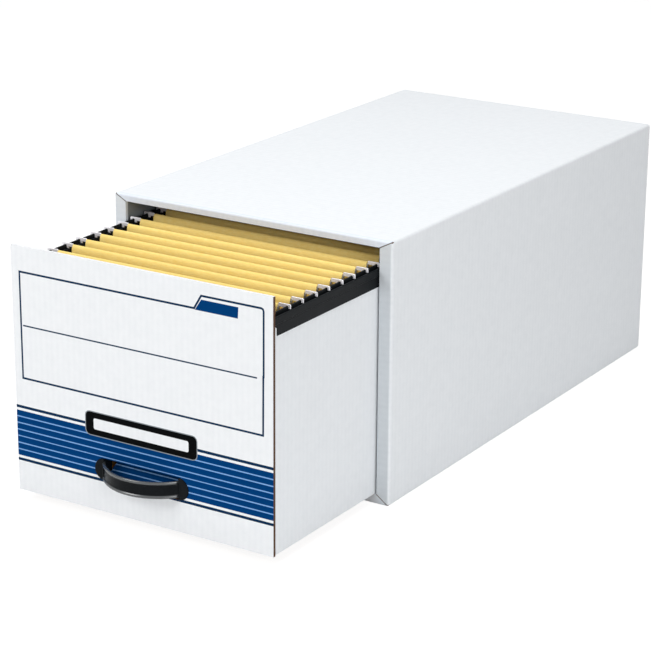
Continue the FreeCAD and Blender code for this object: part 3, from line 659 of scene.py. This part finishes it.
def leaf_path(middle, side):
    """The centre line (y, z) of one leaf: up the glued flap, over the strip as half an ellipse and down to
    the crease, bowed as half a sine. The hem closes at its foot, where half a cosine brings its half-width
    down to the card's own."""
    rod = middle + side * ROD_SPACING / 2
    skin = HEM_HALF - CARD_THICK / 2
    crown = HEM_ARCH - CARD_THICK / 2
    shoulder = HEM_TOP - HEM_ARCH
    rise = np.linspace(0, 1, 14)
    opened = np.minimum(rise / HEM_CLOSES, 1)
    swell = CARD_THICK / 2 + (skin - CARD_THICK / 2) * (1 - np.cos(np.pi * opened)) / 2
    level = HEM_FOOT + (shoulder - HEM_FOOT) * rise
    inner = np.stack([rod - side * swell, level], axis=1)
    over = np.radians(np.linspace(180, 0, 13))[1:-1]
    arch = np.stack([rod + side * skin * np.cos(over), shoulder + crown * np.sin(over)], axis=1)
    outer = np.stack([rod + side * swell, level], axis=1)[::-1]
    down = np.linspace(0, 1, 9)[1:]
    from_y, from_z = outer[-1]
    foot_y = middle + side * LEAF_GAP
    bow = side * LEAF_BOW * np.sin(np.pi * down)
    leaf_y = from_y + (foot_y - from_y) * down + bow
    leaf_z = from_z + (FOLDER_FOOT - from_z) * down
    return np.concatenate([inner, arch, outer, np.stack([leaf_y, leaf_z], axis=1)])


def ribbon(path, thick):
    """A strip's closed outline: its centre line moved half the thickness along its normal, and back along
    the other side."""
    along = np.gradient(path, axis=0)
    length = np.linalg.norm(along, axis=1, keepdims=True)
    normal = np.stack([-along[:, 1], along[:, 0]], axis=1) / length
    return np.concatenate([path + normal * thick / 2, (path - normal * thick / 2)[::-1]])


def sheet_faces(around, along):
    """Faces of a ribbon's outline carried through its stations, with strips across its thickness as its
    ends."""
    sides = tube_faces(around, along)[:-2]
    i = np.arange(around // 2 - 1)
    strip = np.stack([i, i + 1, around - 2 - i, around - 1 - i], axis=-1)
    return sides + strip.tolist() + (strip + (along - 1) * around).tolist()


folder_numbers = range(1, 1 + sum(name.startswith("folder_rods") for name in nodes))
stations = np.linspace(-FOLDER_HALF, FOLDER_HALF, 13)
for number in folder_numbers:
    low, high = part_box(f"folder_{number}")
    middle = (low.y + high.y) / 2 * MM
    front_leaf = leaf_path(middle, -1)
    back_leaf = leaf_path(middle, 1)[::-1]
    crease = np.array([[middle, FOLDER_FOOT - CREASE_DROP]])
    outline = ribbon(np.concatenate([front_leaf, crease, back_leaf]), CARD_THICK)
    points = np.column_stack([np.repeat(stations, len(outline)), np.tile(outline, (len(stations), 1))])
    faces = sheet_faces(len(outline), len(stations))
    piece = solid(f"card_folder_{number}", points, faces, f"folder_{number}", card)
    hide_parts(f"folder_{number}")

# Folder strips: flat steel, punched at each end to a hook that hangs on the rail, and zinc plated. Tumbling
# leaves the zinc pale and dull, with fine marks along the strip, drawn 0.7 mm across and 7 mm long so that
# they show.
ZINC_DARK, ZINC_LIGHT = "ECEBF1", "FAF9FD"
ZINC_METALLIC = 0.4
ZINC_ROUGH = (0.35, 0.55)
ZINC_STRETCH = (0.1, 1.0, 1.0)
ZINC_MARKS_PER_MM = 1.5
zinc, tree, shader, place = new_material("zinc_plated_steel", ZINC_ROUGH[1], metallic=ZINC_METALLIC)
stretched = add(tree, "ShaderNodeVectorMath", {0: place, 1: ZINC_STRETCH}, operation="MULTIPLY").outputs[0]
marks = add(
    tree, "ShaderNodeTexNoise", {"Vector": stretched, "Scale": ZINC_MARKS_PER_MM, "Detail": 5.0}
).outputs["Fac"]
tone = add(tree, "ShaderNodeValToRGB", {"Fac": marks}, stops=((0, ZINC_DARK), (1, ZINC_LIGHT)))
tree.links.new(tone.outputs[0], shader.inputs["Base Color"])
gloss = add(tree, "ShaderNodeMapRange", {0: marks, 3: ZINC_ROUGH[0], 4: ZINC_ROUGH[1]}).outputs[0]
tree.links.new(gloss, shader.inputs["Roughness"])

# The right half of a strip's outline, as (x, z): the hook, from its foot round the notch to its top.
HOOK_OUTLINE = (
    (144.9, 258.4),
    (145.6, 259.0),
    (146.0, 261.8),
    (146.6, 262.3),
    (151.2, 262.3),
    (151.6, 261.9),
    (151.6, 260.2),
    (154.4, 260.2),
    (154.4, 263.6),
    (155.0, 264.3),
    (156.9, 264.3),
    (157.5, 263.6),
    (157.5, 261.5),
    (160.1, 261.5),
    (160.1, 265.3),
    (159.8, 265.9),
    (159.2, 266.2),
    (146.6, 266.2),
    (146.0, 265.9),
    (145.8, 265.3),
    (145.7, 264.0),
)
STRIP_THICK = 1.2
STRIP_EDGE = 0.25
right = np.array(HOOK_OUTLINE)
strip_outline = np.concatenate([right, (right * (-1, 1))[::-1]])
for number in folder_numbers:
    low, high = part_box(f"folder_rods_{number}")
    points, faces = [], []
    for y in (low.y * MM, high.y * MM - STRIP_THICK):
        faces += tube_faces(len(strip_outline), 2, start=len(points) * len(strip_outline))
        points += [np.insert(strip_outline, 1, face, axis=1) for face in (y, y + STRIP_THICK)]
    points = np.concatenate(points)
    piece = solid(f"hook_strips_{number}", points, faces, f"folder_{number}", zinc)
    edge = piece.modifiers.new("edge", "BEVEL")
    edge.width = STRIP_EDGE / MM
    edge.segments = 2
    edge.limit_method = "ANGLE"
    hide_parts(f"folder_rods_{number}")

# Studio, in metres: a pale paper floor under three soft lamps, seen against white. For the camera and in
# reflections most of the floor's colour is a glow, so that it looks as pale as the background but keeps a
# shadow.
FLOOR_WHITE = "F2F2F2"
FLOOR_REACH = 6.0
FLOOR_DROP = -0.0003
FLOOR_GLOW, GLOW_SHARE = 1.25, 0.72
FILL_LEVEL, BACKGROUND_LEVEL = 0.25, 1.0
LAMP_TARGET = Vector((0.0, -0.1, 0.15))


def seen_rays(tree, kinds):
    """1 for a ray of one of the kinds and 0 for any other, as the greatest of their own 1s and 0s."""
    rays = add(tree, "ShaderNodeLightPath")
    seen = rays.outputs[kinds[0]]
    for kind in kinds[1:]:
        seen = add(tree, "ShaderNodeMath", {0: seen, 1: rays.outputs[kind]}, operation="MAXIMUM").outputs[0]
    return seen


floor_mesh = bpy.data.meshes.new("floor")
floor_corners = np.array([(-1, -1), (1, -1), (1, 1), (-1, 1)]) * FLOOR_REACH
floor_corners = np.insert(floor_corners, 2, FLOOR_DROP, axis=1).tolist()
floor_mesh.from_pydata(floor_corners, [], [(0, 1, 2, 3)])
floor = bpy.data.objects.new("floor", floor_mesh)
bpy.context.scene.collection.objects.link(floor)
floor_paper = bpy.data.materials.new("studio_floor_paper")
floor_paper.use_nodes = True
tree = floor_paper.node_tree
paper = add(tree, "ShaderNodeBsdfDiffuse", {"Color": colour(FLOOR_WHITE)})
glow = add(tree, "ShaderNodeEmission", {"Color": (1, 1, 1, 1), "Strength": FLOOR_GLOW})
seen = seen_rays(tree, ("Is Camera Ray", "Is Glossy Ray"))
share = add(tree, "ShaderNodeMath", {0: seen, 1: GLOW_SHARE}, operation="MULTIPLY").outputs[0]
mixed = add(tree, "ShaderNodeMixShader", {0: share, 1: paper.outputs[0], 2: glow.outputs[0]})
tree.links.new(mixed.outputs[0], tree.nodes["Material Output"].inputs["Surface"])
floor.data.materials.append(floor_paper)

world = bpy.data.worlds.new("studio")
bpy.context.scene.world = world
world.use_nodes = True
tree = world.node_tree
seen = seen_rays(tree, ("Is Camera Ray", "Is Glossy Ray", "Is Transmission Ray"))
level = add(tree, "ShaderNodeMapRange", {0: seen, 3: FILL_LEVEL, 4: BACKGROUND_LEVEL}).outputs[0]
background = tree.nodes["Background"]
background.inputs["Color"].default_value = (1, 1, 1, 1)
tree.links.new(level, background.inputs["Strength"])

for name, spot, size, watts in (
    ("lamp_above", (0.2, -0.3, 2.6), 1.7, 39.8),
    ("lamp_front", (-1.3, -2.6, 1.7), 1.4, 34.3),
    ("lamp_right", (2.9, -2.1, 1.2), 1.4, 37.0),
):
    data = bpy.data.lights.new(name, "AREA")
    data.size = size
    data.energy = watts
    lamp = bpy.data.objects.new(name, data)
    lamp.location = spot
    lamp.rotation_euler = (LAMP_TARGET - Vector(spot)).to_track_quat("-Z", "Y").to_euler()
    bpy.context.scene.collection.objects.link(lamp)

# Camera: above the right front corner, where the photograph was taken. Its place is in metres, its angles
# in radians, and its focal length in pixels of a picture that is PICTURE wide.
PICTURE = 651
FOCAL = 2271.04
YAW, PITCH, ROLL = 0.5638, 0.3227, 0.0063
CAMERA_PLACE = (1.30805, -2.22564, 0.94561)
camera_data = bpy.data.cameras.new("camera")
camera_data.lens = FOCAL / PICTURE * camera_data.sensor_width
camera = bpy.data.objects.new("camera", camera_data)
camera.location = CAMERA_PLACE
camera.rotation_euler = (
    Matrix.Rotation(YAW, 3, "Z")
    @ Matrix.Rotation(np.pi / 2 - PITCH, 3, "X")
    @ Matrix.Rotation(ROLL, 3, "Z")
).to_euler()
bpy.context.scene.collection.objects.link(camera)
bpy.context.scene.camera = camera
bpy.context.scene.view_settings.view_transform = "Standard"
